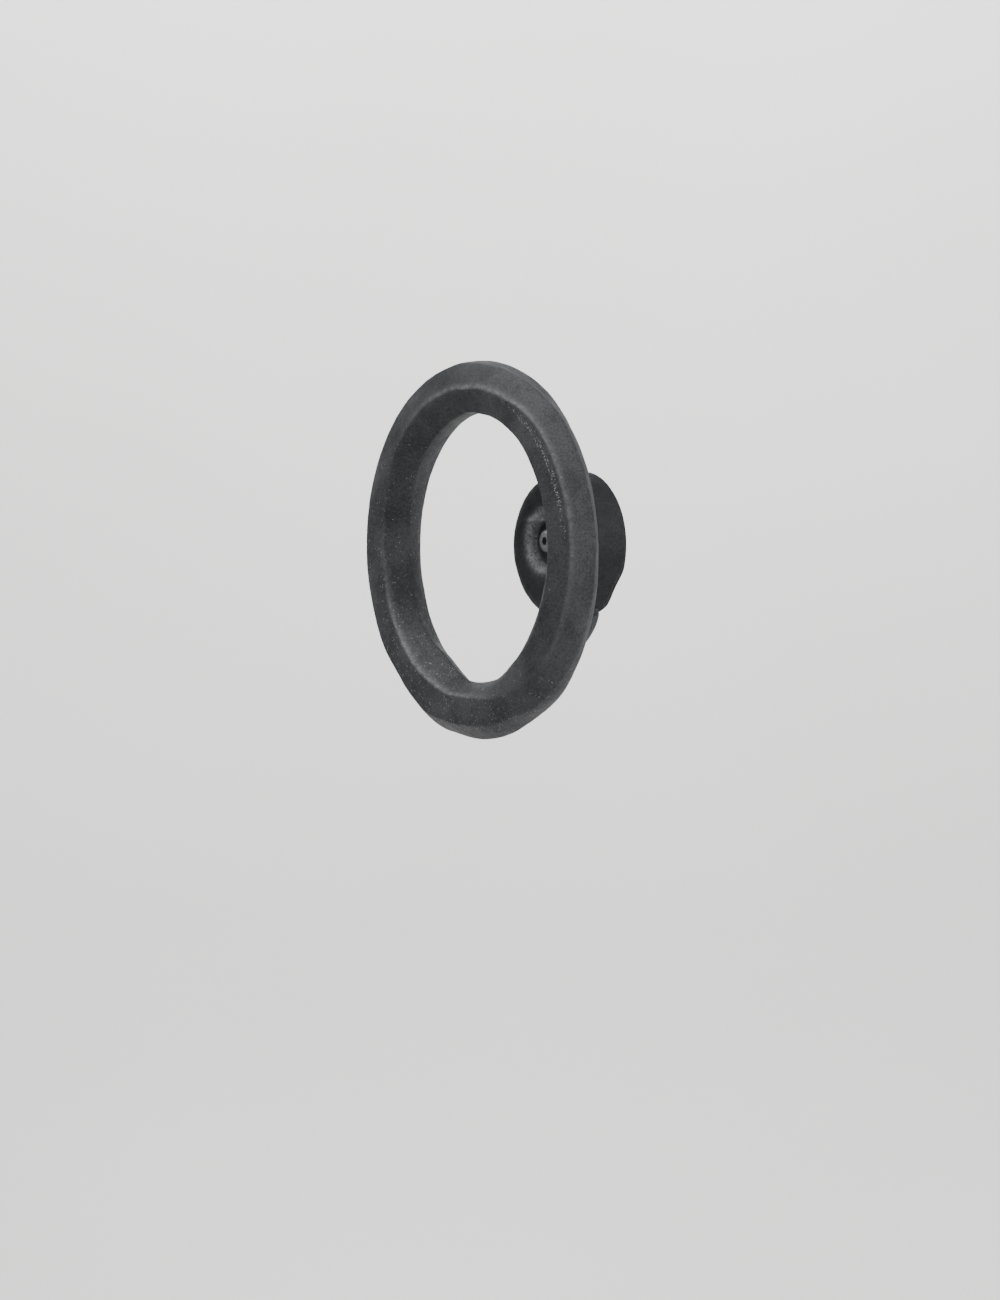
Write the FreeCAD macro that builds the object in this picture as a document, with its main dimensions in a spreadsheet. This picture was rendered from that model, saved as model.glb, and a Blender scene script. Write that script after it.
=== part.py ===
import FreeCAD, Part
import math
import os

import Sketcher

# Ring door knocker, in millimetres.
# Origin: where the fixing screw's axis meets the door. +X right as one faces the door, +Y into the door, +Z up.
# The rose stands on the door at Y = 0 and its front faces -Y. Ring and arm swing as one on the hinge pin, which
# lies along X in the rose's lower half. Their own weight holds the arm's heel on the anvil.

os.makedirs("parts", exist_ok=True)

SIZES = {
    # rubber seat and steel back plate, one behind the other
    "gasket_thick": 1.0,
    "gasket_radius": 23.2,
    "plate_front": 3.0,
    "plate_thick": 2.0,
    "plate_radius": 20.5,
    "tongue_half_width": 4.8,
    "tongue_foot": 26.0,
    "tongue_length": 15.0,
    # the rose: a round cast boss with a dish, whose axes lie beside the screw's
    "rose_across": 4.0,
    "rose_down": 1.4,
    "rose_base_radius": 24.5,
    "rose_front_radius": 23.2,
    "rose_height": 16.5,
    "rim_rounding": 6.0,
    "dish_across": 1.0,
    "dish_floor_radius": 6.2,
    "dish_mouth_radius": 9.8,
    "dish_floor": 11.4,
    "lip_rounding": 2.0,
    "recess_radius": 20.7,
    "fit_gap": 0.05,
    # the hinge
    "pin_across": 9.0,
    "pin_back": 8.2,
    "pin_down": 15.8,
    "pin_radius": 2.0,
    "pin_half_length": 8.5,
    "running_radius": 2.05,
    "bush_radius": 3.2,
    "bush_length": 4.8,
    "flange_radius": 4.2,
    "flange_thick": 0.8,
    "bush_face": 5.0,
    "block_face": 5.2,
    "block_width": 3.4,
    "block_half_height": 2.8,
    "pocket_half_height": 2.85,
    "pocket_far_side": 8.65,
    "pocket_floor": 11.2,
    # the slot that the knuckle swings in
    "slot_half_width": 5.2,
    "slot_reach": 5.5,
    "slot_shoulder": 2.4,
    "slot_mouth_reach": 10.4,
    "slot_mouth_drop": 14.2,
    # the arm: knuckle, neck and a round bar that bends out to the ring
    "knuckle_half_width": 4.9,
    "knuckle_radius": 4.9,
    "neck_foot": 27.5,
    "bar_radius": 7.0,
    "bar_across": 9.3,
    "bar_back": 8.6,
    "bar_top": 26.2,
    "bend_across": 9.8,
    "bend_back": 9.0,
    "bend_down": 30.2,
    "bend_radius": 7.6,
    # the ring
    "ring_across": -8.8,
    "ring_out": 33.0,
    "ring_down": 2.7,
    "ring_path_radius": 53.75,
    "ring_bar_radius": 8.7,
    "arm_angle": -59.0,
    # ring joint
    "stud_radius": 2.5,
    "stud_length": 20.0,
    "stud_past_centre": 3.5,
    "key_radius": 1.0,
    "key_length": 9.0,
    "key_offset": 4.4,
    # knock faces
    "plug_radius": 2.0,
    "plug_down": 22.8,
    "striker_face": 3.2,
    "striker_length": 4.0,
    # fixing screw, back plate screws and anti-turn pins
    "screw_radius": 2.0,
    "shank_radius": 1.75,
    "screw_hole_radius": 2.25,
    "screw_length": 25.0,
    "screw_head_radius": 4.0,
    "screw_head_height": 3.1,
    "screw_head_rounding": 1.4,
    "tip_chamfer": 0.6,
    "drive_corner_radius": 1.45,
    "drive_depth": 1.6,
    "small_screw_radius": 1.25,
    "small_screw_hole": 1.3,
    "small_head_radius": 2.3,
    "small_head_height": 1.2,
    "small_screw_length": 8.0,
    "small_drive_radius": 0.75,
    "small_drive_depth": 0.7,
    "screw_circle_radius": 16.5,
    "turn_pin_radius": 1.75,
    "turn_stud_radius": 1.4,
    "turn_pin_half_spacing": 14.0,
    "turn_pin_depth": 8.0,
    "turn_pin_proud": 6.0,
}

PLATE_SCREW_ANGLES = (25, 90, 155)
PIN_CHAMFER = 0.3

doc = FreeCAD.newDocument("door_knocker")
sheet = doc.addObject("Spreadsheet::Sheet", "sizes")
for row, (alias, value) in enumerate(SIZES.items(), start=1):
    sheet.set(f"A{row}", alias)
    sheet.set(f"B{row}", str(value))
    sheet.setAlias(f"B{row}", alias)
doc.recompute()

nodes = []


# ---- helpers: an amount is written as words, such as "- rose_height + lip_rounding" ----

def amount(words):
    """The value of a sum of sizes."""
    total = 0.0
    sign = 1
    for word in str(words).split():
        if word in "+-":
            sign = 1 if word == "+" else -1
        else:
            total += sign * (SIZES[word] if word in SIZES else float(word))
            sign = 1
    return total


def formula(words):
    """The same sum as a FreeCAD expression over the sheet."""
    return " ".join("sizes." + word if word in SIZES else word for word in str(words).split())


def bind(item, prop, words):
    item.setExpression(prop, formula(words))


def place(item, base, rotation=None):
    """Put item at base, three amounts, each bound to the sheet."""
    item.Placement = FreeCAD.Placement(FreeCAD.Vector(), rotation or FreeCAD.Rotation())
    for axis, words in zip("xyz", base):
        bind(item, f"Placement.Base.{axis}", words)


ALONG_Y = FreeCAD.Rotation(FreeCAD.Vector(1, 0, 0), -90)
ALONG_X = FreeCAD.Rotation(FreeCAD.Vector(0, 1, 0), 90)


def cylinder(name, radius, height, base, rotation):
    item = doc.addObject("Part::Cylinder", name)
    bind(item, "Radius", radius)
    bind(item, "Height", height)
    place(item, base, rotation)
    return item


def cone(name, radius_from, radius_to, height, base, rotation):
    item = doc.addObject("Part::Cone", name)
    bind(item, "Radius1", radius_from)
    bind(item, "Radius2", radius_to)
    bind(item, "Height", height)
    place(item, base, rotation)
    return item


def block(name, size, base):
    item = doc.addObject("Part::Box", name)
    for side, words in zip(("Length", "Width", "Height"), size):
        bind(item, side, words)
    place(item, base)
    return item


def fuse(name, shapes):
    item = doc.addObject("Part::MultiFuse", name)
    item.Shapes = shapes
    return item


def cut(name, base, tools):
    item = doc.addObject("Part::Cut", name)
    item.Base = base
    item.Tool = tools[0] if len(tools) == 1 else fuse(name + "_tools", tools)
    return item


def compound(name, shapes):
    item = doc.addObject("Part::Compound", name)
    item.Links = shapes
    return item


def sub_part(item, label):
    item.Label = label
    nodes.append(item)
    return item


def new_body(name):
    body = doc.addObject("PartDesign::Body", name)
    body.Placement = FreeCAD.Placement()
    return body


def sketch_on(body, role, name, offset=("0", "0", "0")):
    """A sketch on one of the body's origin planes, shifted by three amounts in the plane's own directions."""
    sketch = body.newObject("Sketcher::SketchObject", name)
    plane = [item for item in body.Origin.OriginFeatures if item.Role == role][0]
    sketch.AttachmentSupport = [(plane, "")]
    sketch.MapMode = "FlatFace"
    for axis, words in zip("xyz", offset):
        bind(sketch, f"AttachmentOffset.Base.{axis}", words)
    return sketch


def pin_corner(sketch, geometry, end, corner):
    """Hold one point of the sketch at a corner given as two amounts from the sketch's origin."""
    for kind, words in zip(("DistanceX", "DistanceY"), corner):
        number = sketch.addConstraint(Sketcher.Constraint(kind, -1, 1, geometry, end, amount(words)))
        bind(sketch, f"Constraints[{number}]", words)


def outline(sketch, corners):
    """A closed outline of straight lines through the corners."""
    points = [FreeCAD.Vector(amount(across), amount(up), 0) for across, up in corners]
    following = points[1:] + points[:1]
    lines = [sketch.addGeometry(Part.LineSegment(a, b), False) for a, b in zip(points, following)]
    for line, after in zip(lines, lines[1:] + lines[:1]):
        sketch.addConstraint(Sketcher.Constraint("Coincident", line, 2, after, 1))
    for line, corner in zip(lines, corners):
        pin_corner(sketch, line, 1, corner)


def circle(sketch, radius, centre=("0", "0")):
    middle = FreeCAD.Vector(amount(centre[0]), amount(centre[1]), 0)
    number = sketch.addGeometry(Part.Circle(middle, FreeCAD.Vector(0, 0, 1), amount(radius)), False)
    pin_corner(sketch, number, 3, centre)
    limit = sketch.addConstraint(Sketcher.Constraint("Radius", number, amount(radius)))
    bind(sketch, f"Constraints[{limit}]", radius)


def turned(body, kind, name, sketch):
    """Revolve a sketch once round its own vertical axis: kind is Revolution or Groove."""
    feature = body.newObject("PartDesign::" + kind, name)
    feature.Profile = sketch
    feature.ReferenceAxis = (sketch, ["V_Axis"])
    feature.Angle = 360
    doc.recompute()
    return feature


def pocket_both_ways(body, name, sketch, length):
    feature = body.newObject("PartDesign::Pocket", name)
    feature.Profile = sketch
    feature.Midplane = True
    bind(feature, "Length", length)
    doc.recompute()
    return feature


def round_edge(body, name, radius, at_y, of_radius):
    """Fillet the round edge of the body's tip that lies at Y = at_y and has the given radius."""
    tip = body.Tip
    names = []
    for number, edge in enumerate(tip.Shape.Edges, start=1):
        if not isinstance(edge.Curve, Part.Circle):
            continue
        right_size = abs(edge.Curve.Radius - of_radius) < 0.01
        right_place = abs(edge.Curve.Center.y - at_y) < 0.01
        if right_size and right_place:
            names.append(f"Edge{number}")
    feature = body.newObject("PartDesign::Fillet", name)
    feature.Base = (tip, names)
    bind(feature, "Radius", radius)
    doc.recompute()
    return feature


def must_shrink(before, body, name):
    """A cut that points away from the solid takes nothing off and shows no error, so its volume is compared."""
    if body.Shape.Volume >= before - 1.0:
        raise RuntimeError(name + " cut nothing")
    return body.Shape.Volume


# ---- rose: turned boss, dish, screw bore, plate recess, knuckle slot and block pockets ----

def make_rose():
    body = new_body("rose_body")
    section = sketch_on(body, "XY_Plane", "rose_section", ("rose_across", "0", "- rose_down"))
    outline(section, [
        ("0", "- gasket_thick"),
        ("rose_base_radius", "- gasket_thick"),
        ("rose_front_radius", "- rose_height"),
        ("0", "- rose_height"),
    ])
    turned(body, "Revolution", "rose_boss", section)
    round_edge(body, "rose_rim", "rim_rounding", amount("- rose_height"), amount("rose_front_radius"))
    volume = body.Shape.Volume

    dish = sketch_on(body, "XY_Plane", "dish_section", ("dish_across", "0", "0"))
    outline(dish, [
        ("0", "- dish_floor"),
        ("dish_floor_radius", "- dish_floor"),
        ("dish_mouth_radius", "- rose_height"),
        ("0", "- rose_height"),
    ])
    turned(body, "Groove", "dish", dish)
    volume = must_shrink(volume, body, "dish")
    round_edge(body, "dish_lip", "lip_rounding", amount("- rose_height"), amount("dish_mouth_radius"))
    volume = body.Shape.Volume

    bore = sketch_on(body, "XY_Plane", "bore_section")
    outline(bore, [
        ("0", "0"),
        ("screw_hole_radius", "0"),
        ("screw_hole_radius", "- rose_height"),
        ("0", "- rose_height"),
    ])
    turned(body, "Groove", "screw_bore", bore)
    volume = must_shrink(volume, body, "screw bore")

    recess = sketch_on(body, "XY_Plane", "recess_section", ("rose_across", "0", "- rose_down"))
    outline(recess, [
        ("0", "0"),
        ("recess_radius", "0"),
        ("recess_radius", "- plate_front"),
        ("0", "- plate_front"),
    ])
    turned(body, "Groove", "plate_recess", recess)
    volume = must_shrink(volume, body, "plate recess")

    swing_room = sketch_on(body, "YZ_Plane", "swing_room", ("- pin_back", "- pin_down", "pin_across"))
    outline(swing_room, [
        ("- slot_reach", "0"),
        ("- slot_mouth_reach", "- slot_mouth_drop"),
        ("pin_back", "- slot_mouth_drop"),
        ("pin_back", "slot_reach"),
        ("- slot_shoulder", "slot_reach"),
        ("- slot_reach", "slot_shoulder"),
    ])
    pocket_both_ways(body, "swing_room_cut", swing_room, "slot_half_width + slot_half_width")
    volume = must_shrink(volume, body, "swing room")

    pockets = sketch_on(body, "YZ_Plane", "block_pockets", ("0", "- pin_down", "pin_across"))
    outline(pockets, [
        ("- pocket_floor", "- pocket_half_height"),
        ("0", "- pocket_half_height"),
        ("0", "pocket_half_height"),
        ("- pocket_floor", "pocket_half_height"),
    ])
    pocket_both_ways(body, "block_pocket_cut", pockets, "pocket_far_side + pocket_far_side")
    volume = must_shrink(volume, body, "block pockets")

    holes = []
    for number, (across, up) in enumerate(plate_screw_places(), start=1):
        base = (across, "- small_screw_length - gasket_thick - 1", up)
        holes.append(cylinder(f"rose_tapped_hole_{number}", "small_screw_hole", "small_screw_length + 1",
                              base, ALONG_Y))
    for number, across in enumerate(turn_pin_places(), start=1):
        holes.append(cylinder(f"rose_pin_hole_{number}", "turn_pin_radius", "turn_pin_depth",
                              (across, "- turn_pin_depth", "0"), ALONG_Y))
    sub_part(cut("rose_bored", body, holes), "rose")


def plate_screw_places():
    """Across and up amounts of each back plate screw, on a circle round the rose's axis."""
    places = []
    for angle in PLATE_SCREW_ANGLES:
        across = SIZES["screw_circle_radius"] * math.cos(math.radians(angle))
        up = SIZES["screw_circle_radius"] * math.sin(math.radians(angle))
        places.append((f"rose_across + {across:.3f}", f"{up:.3f} - rose_down"))
    return places


def turn_pin_places():
    return ("- turn_pin_half_spacing", "turn_pin_half_spacing")


# ---- back plate with its tongue, its screws, the anvil and the gasket ----

def make_back_plate():
    disc = cylinder("plate_disc", "plate_radius", "plate_thick",
                    ("rose_across", "- plate_front", "- rose_down"), ALONG_Y)
    tongue_bar = block("plate_tongue_bar", ("tongue_half_width + tongue_half_width", "plate_thick", "tongue_length"),
                       ("pin_across - tongue_half_width", "- plate_front", "- tongue_foot"))
    limit = cylinder("plate_limit", "gasket_radius", "plate_thick",
                     ("rose_across", "- plate_front", "- rose_down"), ALONG_Y)
    tongue = doc.addObject("Part::Common", "plate_tongue")
    tongue.Base = tongue_bar
    tongue.Tool = limit
    holes = [
        cylinder("plate_screw_hole", "screw_hole_radius", "plate_thick", ("0", "- plate_front", "0"), ALONG_Y),
        cylinder("plate_anvil_hole", "plug_radius", "plate_thick",
                 ("pin_across", "- plate_front", "- plug_down"), ALONG_Y),
    ]
    for number, (across, up) in enumerate(plate_screw_places(), start=1):
        holes.append(cylinder(f"plate_small_hole_{number}", "small_screw_hole", "plate_thick",
                              (across, "- plate_front", up), ALONG_Y))
        holes.append(cone(f"plate_countersink_{number}", "small_screw_hole", "small_head_radius + fit_gap",
                          "small_head_height", (across, "- gasket_thick - small_head_height", up), ALONG_Y))
    for number, across in enumerate(turn_pin_places(), start=1):
        holes.append(cylinder(f"plate_pin_hole_{number}", "turn_pin_radius + fit_gap", "plate_thick",
                              (across, "- plate_front", "0"), ALONG_Y))
    sub_part(cut("back_plate", fuse("plate_blank", [disc, tongue]), holes), "back_plate")


def make_back_plate_screws():
    screws = []
    for number, (across, up) in enumerate(plate_screw_places(), start=1):
        shank = cylinder(f"small_shank_{number}", "small_screw_radius", "small_screw_length",
                         (across, "- gasket_thick - small_screw_length", up), ALONG_Y)
        head = cone(f"small_head_{number}", "small_screw_radius", "small_head_radius", "small_head_height",
                    (across, "- gasket_thick - small_head_height", up), ALONG_Y)
        drive = cylinder(f"small_drive_{number}", "small_drive_radius", "small_drive_depth",
                         (across, "- gasket_thick - small_drive_depth", up), ALONG_Y)
        blank = fuse(f"small_blank_{number}", [shank, head])
        screws.append(cut(f"small_screw_{number}", blank, [drive]))
    sub_part(compound("small_screws", screws), "back_plate_screws")


def make_anvil_plug():
    plug = cylinder("anvil", "plug_radius", "plate_thick",
                    ("pin_across", "- plate_front", "- plug_down"), ALONG_Y)
    sub_part(plug, "anvil_plug")


def make_gasket():
    disc = cylinder("gasket_disc", "gasket_radius", "gasket_thick",
                    ("rose_across", "- gasket_thick", "- rose_down"), ALONG_Y)
    holes = [cylinder("gasket_screw_hole", "screw_hole_radius", "gasket_thick",
                      ("0", "- gasket_thick", "0"), ALONG_Y)]
    for number, across in enumerate(turn_pin_places(), start=1):
        holes.append(cylinder(f"gasket_pin_hole_{number}", "turn_pin_radius + fit_gap", "gasket_thick",
                              (across, "- gasket_thick", "0"), ALONG_Y))
    sub_part(cut("gasket", disc, holes), "door_gasket")


def make_anti_turn_pins():
    pins = []
    for number, across in enumerate(turn_pin_places(), start=1):
        stem = cylinder(f"turn_pin_stem_{number}", "turn_pin_radius", "turn_pin_depth",
                        (across, "- turn_pin_depth", "0"), ALONG_Y)
        stud = cylinder(f"turn_pin_stud_{number}", "turn_stud_radius", "turn_pin_proud - tip_chamfer",
                        (across, "0", "0"), ALONG_Y)
        tip = cone(f"turn_pin_tip_{number}", "turn_stud_radius", "turn_stud_radius - tip_chamfer",
                   "tip_chamfer", (across, "turn_pin_proud - tip_chamfer", "0"), ALONG_Y)
        pins.append(fuse(f"turn_pin_whole_{number}", [stem, stud, tip]))
    sub_part(compound("turn_pins", pins), "anti_turn_pins")


# ---- fixing screw: pan head in the dish, shank through rose, plate and gasket into the door ----

def make_fixing_screw():
    body = new_body("fixing_screw_body")
    section = sketch_on(body, "XY_Plane", "screw_section")
    top = "- dish_floor - screw_head_height"
    end = "screw_length - dish_floor"
    outline(section, [
        ("0", top),
        ("screw_head_radius", top),
        ("screw_head_radius", "- dish_floor"),
        ("shank_radius", "- dish_floor"),
        ("shank_radius", "0"),
        ("screw_radius", "0"),
        ("screw_radius", end + " - tip_chamfer"),
        ("screw_radius - tip_chamfer", end),
        ("0", end),
    ])
    turned(body, "Revolution", "screw_blank", section)
    round_edge(body, "screw_head_round", "screw_head_rounding", amount(top), amount("screw_head_radius"))
    volume = body.Shape.Volume

    socket = sketch_on(body, "XZ_Plane", "drive_socket", ("0", "0", "0"))
    corner_radius = SIZES["drive_corner_radius"]
    corners = []
    for step in range(6):
        angle = math.radians(60 * step)
        corners.append((f"{corner_radius * math.cos(angle):.4f}", f"{corner_radius * math.sin(angle):.4f}"))
    outline(socket, corners)
    # the socket's sketch lies at the head's top, one drive depth of it inside the head
    bind(socket, "AttachmentOffset.Base.z", "dish_floor + screw_head_height")
    pocket_both_ways(body, "drive_socket_cut", socket, "drive_depth + drive_depth")
    must_shrink(volume, body, "drive socket")
    sub_part(body, "fixing_screw")


# ---- hinge: pin, the blocks that carry its ends, the flanged bushes ----

def make_hinge_pin():
    pin = cylinder("pin_blank", "pin_radius", "pin_half_length + pin_half_length",
                   ("pin_across - pin_half_length", "- pin_back", "- pin_down"), ALONG_X)
    doc.recompute()
    chamfered = doc.addObject("Part::Chamfer", "pin_chamfered")
    chamfered.Base = pin
    ends = [number for number, edge in enumerate(pin.Shape.Edges, start=1) if len(edge.Vertexes) == 1]
    chamfered.Edges = [(number, PIN_CHAMFER, PIN_CHAMFER) for number in ends]
    sub_part(chamfered, "hinge_pin")


def make_pin_blocks():
    blocks = []
    starts = {"left": "pin_across - block_face - block_width", "right": "pin_across + block_face"}
    for side, start in starts.items():
        blank = block(f"block_{side}", ("block_width", "pocket_floor - plate_front - fit_gap",
                                        "block_half_height + block_half_height"),
                      (start, "- pocket_floor", "- pin_down - block_half_height"))
        hole = cylinder(f"block_hole_{side}", "pin_radius", "block_width",
                        (start, "- pin_back", "- pin_down"), ALONG_X)
        blocks.append(cut(f"pin_block_{side}", blank, [hole]))
    sub_part(compound("pin_block_pair", blocks), "pin_blocks")


def make_pivot_bushes():
    bushes = []
    barrel_starts = {"left": "pin_across - bush_face", "right": "pin_across + bush_face - bush_length"}
    flange_starts = {"left": "pin_across - bush_face", "right": "pin_across + bush_face - flange_thick"}
    for side, start in barrel_starts.items():
        barrel = cylinder(f"bush_barrel_{side}", "bush_radius", "bush_length",
                          (start, "- pin_back", "- pin_down"), ALONG_X)
        flange = cylinder(f"bush_flange_{side}", "flange_radius", "flange_thick",
                          (flange_starts[side], "- pin_back", "- pin_down"), ALONG_X)
        hole = cylinder(f"bush_hole_{side}", "running_radius", "bush_length",
                        (start, "- pin_back", "- pin_down"), ALONG_X)
        bushes.append(cut(f"bush_{side}", fuse(f"bush_blank_{side}", [barrel, flange]), [hole]))
    sub_part(compound("bush_pair", bushes), "pivot_bushes")


# ---- ring ----

def ring_centre():
    return FreeCAD.Vector(SIZES["ring_across"], -SIZES["ring_out"], -SIZES["ring_down"])


def arm_end():
    """Where the arm's axis meets the middle of the ring's bar."""
    angle = math.radians(SIZES["arm_angle"])
    reach = FreeCAD.Vector(math.cos(angle), 0, math.sin(angle)) * SIZES["ring_path_radius"]
    return ring_centre() + reach


def bend_point():
    return FreeCAD.Vector(SIZES["bend_across"], -SIZES["bend_back"], -SIZES["bend_down"])


def end_direction():
    """The way the arm runs as it reaches the ring."""
    return (arm_end() - bend_point()).normalize()


def along_arm(name, radius, length, past_centre, sideways):
    """A cylinder along the arm's last run, ending past_centre beyond the middle of the ring's bar."""
    way = end_direction()
    side = way.cross(FreeCAD.Vector(0, 0, 1)).normalize()
    start = arm_end() + way * (past_centre - SIZES[length]) + side * sideways
    item = doc.addObject("Part::Cylinder", name)
    bind(item, "Radius", radius)
    bind(item, "Height", length)
    item.Placement = FreeCAD.Placement(start, FreeCAD.Rotation(FreeCAD.Vector(0, 0, 1), way))
    return item


def stud_solid(name):
    return along_arm(name, "stud_radius", "stud_length", SIZES["stud_past_centre"], 0)


def key_solid(name):
    return along_arm(name, "key_radius", "key_length", 0, SIZES["key_offset"])


def make_ring():
    body = new_body("ring_body")
    section = sketch_on(body, "XY_Plane", "ring_section", ("ring_across", "- ring_out", "- ring_down"))
    circle(section, "ring_bar_radius", ("ring_path_radius", "0"))
    turned(body, "Revolution", "ring_bar", section)
    bored = cut("ring_bored", body, [stud_solid("ring_stud_hole"), key_solid("ring_key_hole")])
    sub_part(bored, "knocker_ring")
    sub_part(stud_solid("stud"), "ring_stud")
    sub_part(key_solid("key"), "ring_key_pin")
    return body


# ---- arm: knuckle and neck as one pad, the bar swept along a line, an arc and a line ----

def bar_path():
    top = FreeCAD.Vector(SIZES["bar_across"], -SIZES["bar_back"], -SIZES["bar_top"])
    bend = bend_point()
    first = (bend - top).normalize()
    last = end_direction()
    half_turn = first.getAngle(last) / 2
    tangent = SIZES["bend_radius"] * math.tan(half_turn)
    middle_way = (last - first).normalize()
    centre = bend + middle_way * (SIZES["bend_radius"] / math.cos(half_turn))
    arc_start = bend - first * tangent
    arc_end = bend + last * tangent
    arc_middle = centre - middle_way * SIZES["bend_radius"]
    edges = [
        Part.LineSegment(top, arc_start).toShape(),
        Part.Arc(arc_start, arc_middle, arc_end).toShape(),
        Part.LineSegment(arc_end, arm_end()).toShape(),
    ]
    return Part.Wire(edges), top, first


def make_bar():
    """The bar bends in space, so it is swept from a wire of runs and an arc."""
    path, top, way = bar_path()
    profile = Part.Wire([Part.makeCircle(SIZES["bar_radius"], top, way)])
    item = doc.addObject("Part::Feature", "arm_bar")
    item.Shape = path.makePipeShell([profile], True, False)
    item.Placement = FreeCAD.Placement()
    return item


def make_arm(ring_body):
    body = new_body("neck_body")
    knuckle = sketch_on(body, "YZ_Plane", "knuckle_section", ("- pin_back", "- pin_down", "pin_across"))
    circle(knuckle, "knuckle_radius")
    neck = sketch_on(body, "YZ_Plane", "neck_section", ("- pin_back", "- pin_down", "pin_across"))
    outline(neck, [
        ("- knuckle_radius", "0"),
        ("- knuckle_radius", "pin_down - neck_foot"),
        ("knuckle_radius", "pin_down - neck_foot"),
        ("knuckle_radius", "0"),
    ])
    for name, sketch in (("knuckle", knuckle), ("neck", neck)):
        pad = body.newObject("PartDesign::Pad", name)
        pad.Profile = sketch
        pad.Midplane = True
        bind(pad, "Length", "knuckle_half_width + knuckle_half_width")
        doc.recompute()
    bar = make_bar()
    pin_line = ("- pin_back", "- pin_down")
    holes = [
        cylinder("arm_bush_hole", "bush_radius", "bush_face + bush_face",
                 ("pin_across - bush_face", *pin_line), ALONG_X),
        cylinder("arm_flange_seat_left", "flange_radius", "flange_thick",
                 ("pin_across - bush_face", *pin_line), ALONG_X),
        cylinder("arm_flange_seat_right", "flange_radius", "flange_thick",
                 ("pin_across + bush_face - flange_thick", *pin_line), ALONG_X),
        cylinder("arm_striker_hole", "plug_radius", "striker_length",
                 ("pin_across", "- striker_face - striker_length", "- plug_down"), ALONG_Y),
        stud_solid("arm_stud_hole"),
        key_solid("arm_key_hole"),
    ]
    arm = cut("arm_finished", fuse("arm_blank", [body, bar]), holes + [ring_body])
    sub_part(arm, "knocker_arm")


def make_striker_plug():
    plug = cylinder("striker", "plug_radius", "striker_length",
                    ("pin_across", "- striker_face - striker_length", "- plug_down"), ALONG_Y)
    sub_part(plug, "striker_plug")


# ---- build, check and export ----

make_rose()
make_back_plate()
make_back_plate_screws()
make_anvil_plug()
make_gasket()
make_anti_turn_pins()
make_fixing_screw()
make_hinge_pin()
make_pin_blocks()
make_pivot_bushes()
ring_body = make_ring()
make_arm(ring_body)
make_striker_plug()

doc.recompute()
for item in doc.Objects:
    if "Invalid" in item.State or "Error" in item.State:
        raise RuntimeError(f"{item.Name} failed: {item.State}")
for item in nodes:
    if item.Shape.isNull() or not item.Shape.isValid():
        raise RuntimeError(f"{item.Label} has no valid shape")
    item.Shape.exportStep(f"parts/{item.Label}.step")
    box = item.Shape.BoundBox
    print(f"{item.Label}: {len(item.Shape.Solids)} solids, {item.Shape.Volume:.1f} mm3, "
          f"X {box.XMin:.1f}..{box.XMax:.1f} Y {box.YMin:.1f}..{box.YMax:.1f} Z {box.ZMin:.1f}..{box.ZMax:.1f}")
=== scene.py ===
"""Looks for a cast iron door knocker: an upright ring on a short arm, hinged in a dished boss."""

import math

import bmesh
import bpy
import numpy as np
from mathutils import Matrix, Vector, noise


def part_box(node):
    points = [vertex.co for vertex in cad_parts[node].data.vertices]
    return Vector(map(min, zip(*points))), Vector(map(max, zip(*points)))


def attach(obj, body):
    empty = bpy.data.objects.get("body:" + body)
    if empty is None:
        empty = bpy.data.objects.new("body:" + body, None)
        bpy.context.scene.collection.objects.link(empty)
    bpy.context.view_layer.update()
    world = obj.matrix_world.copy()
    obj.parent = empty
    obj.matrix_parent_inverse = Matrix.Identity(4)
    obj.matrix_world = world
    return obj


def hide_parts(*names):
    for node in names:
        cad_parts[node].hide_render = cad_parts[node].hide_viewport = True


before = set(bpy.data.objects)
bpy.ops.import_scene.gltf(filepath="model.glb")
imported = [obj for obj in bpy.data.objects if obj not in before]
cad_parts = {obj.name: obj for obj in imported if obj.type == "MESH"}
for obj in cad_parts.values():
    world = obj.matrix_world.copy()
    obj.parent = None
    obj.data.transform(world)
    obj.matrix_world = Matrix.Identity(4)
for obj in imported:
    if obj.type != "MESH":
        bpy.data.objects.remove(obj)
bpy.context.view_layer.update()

MM = 0.001

# ---- camera: the ring is seen obliquely, level with it, from well back ----
VIEW_AZIMUTH = math.radians(57.0)
VIEW_DISTANCE = 3.0
VIEW_HEIGHT = 0.4305          # how much of the scene the picture's height takes in, at the ring
LOOK_ASIDE = 5.6 * MM         # the picture's middle lies this far right of the ring's centre
LOOK_BELOW = 33.4 * MM        # and this far below it
SENSOR = 36.0
CLIP_NEAR = 0.1
CLIP_FAR = 20.0

# ---- how fine the meshes are ----
WELD_DISTANCE = 0.002 * MM
RING_STEPS = 300              # sections round the ring
BAR_STEPS = 72                # points round each section
RING_VOXEL = 0.50 * MM
ROSE_VOXEL = 0.42 * MM

BODY_OF_RING = "knocker"
BODY_OF_ROSE = "mounting"


# ---- where things are, from the frame ----

def middle(node):
    lo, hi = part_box(node)
    return (lo + hi) / 2


ring_lo, ring_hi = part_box("knocker_ring")
RING_CENTRE = (ring_lo + ring_hi) / 2
BAR_RADIUS = (ring_hi.y - ring_lo.y) / 2
PATH_RADIUS = (ring_hi.x - ring_lo.x) / 2 - BAR_RADIUS
rose_lo, rose_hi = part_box("rose")
ROSE_CENTRE = (rose_lo + rose_hi) / 2
ROSE_RADIUS = (rose_hi.x - rose_lo.x) / 2
PIN_CENTRE = middle("hinge_pin")


# ---- mesh helpers ----

def new_object(name, data):
    item = bpy.data.objects.new(name, data)
    bpy.context.scene.collection.objects.link(item)
    return item


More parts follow.
